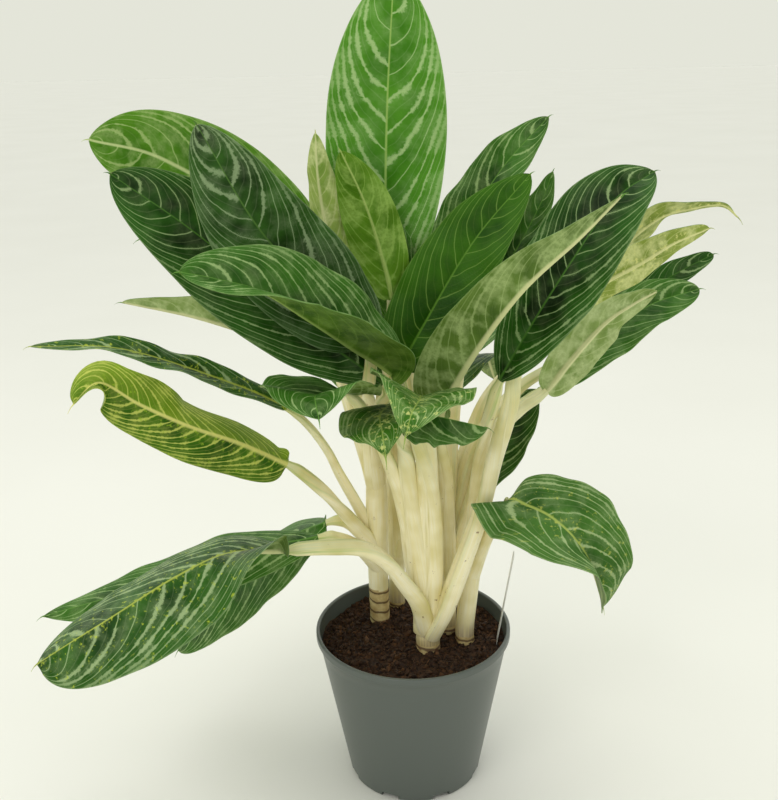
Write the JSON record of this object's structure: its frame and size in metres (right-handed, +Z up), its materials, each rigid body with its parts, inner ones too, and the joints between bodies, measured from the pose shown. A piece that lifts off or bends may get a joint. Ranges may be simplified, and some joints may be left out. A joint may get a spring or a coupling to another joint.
{
  "type": "potted foliage plant",
  "caption": "Potted Chinese evergreen with broad silver-veined leaves on pale stalks, standing in a plain tapered nursery pot.",
  "frame": {"origin": "centre of the flat underside of the pot, on the surface it stands on", "axes": "+Z up along the pot's axis, +X to the viewer's right, +Y away from the viewer"},
  "size_m": [0.836, 0.5885, 0.9482],
  "materials": {
    "pot_plastic": "satin",
    "potting_mix": "matte",
    "label_plastic": "satin",
    "leaf_stalks": "satin",
    "leaf_blades": "satin",
    "young_leaf_blades": "satin"
  },
  "bodies": {
    "root": {"nursery_pot": "pot_plastic", "potting_mix": "potting_mix", "plant_label": "label_plastic", "shoot_left": "leaf_stalks", "shoot_front": "leaf_stalks", "shoot_middle": "leaf_stalks", "shoot_right": "leaf_stalks", "shoot_rear": "leaf_stalks", "leaf_left_low_front": "leaf_blades", "leaf_left_low_middle": "leaf_blades", "leaf_left_low_back": "leaf_blades", "leaf_left_arched": "leaf_blades", "leaf_left_slender": "leaf_blades", "leaf_left_underside": "leaf_blades", "leaf_upper_left_front": "leaf_blades", "leaf_upper_left_dark": "leaf_blades", "leaf_upper_left_tall": "leaf_blades", "leaf_upper_left_back": "leaf_blades", "leaf_far_left_back": "leaf_blades", "leaf_front_left_lobed": "leaf_blades", "leaf_front_centre": "leaf_blades", "leaf_front_flecked": "leaf_blades", "leaf_front_right_band": "leaf_blades", "leaf_top": "leaf_blades", "leaf_young_pale": "young_leaf_blades", "leaf_young_green": "young_leaf_blades", "leaf_young_dark": "leaf_blades", "leaf_top_right_olive": "leaf_blades", "leaf_top_right_back": "leaf_blades", "leaf_top_right_narrow": "leaf_blades", "leaf_right_big": "leaf_blades", "leaf_right_crossing": "leaf_blades", "leaf_right_yellow": "leaf_blades", "leaf_far_right_pale": "leaf_blades", "leaf_far_right_dark": "leaf_blades", "leaf_right_sage": "leaf_blades", "leaf_right_veined": "leaf_blades", "leaf_right_behind_stems": "leaf_blades", "leaf_right_low": "leaf_blades", "leaf_rear_left": "leaf_blades", "leaf_rear_middle": "leaf_blades", "leaf_rear_right": "leaf_blades", "leaf_rear_low_left": "leaf_blades", "leaf_rear_low_right": "leaf_blades"}
  },
  "joints": []
}
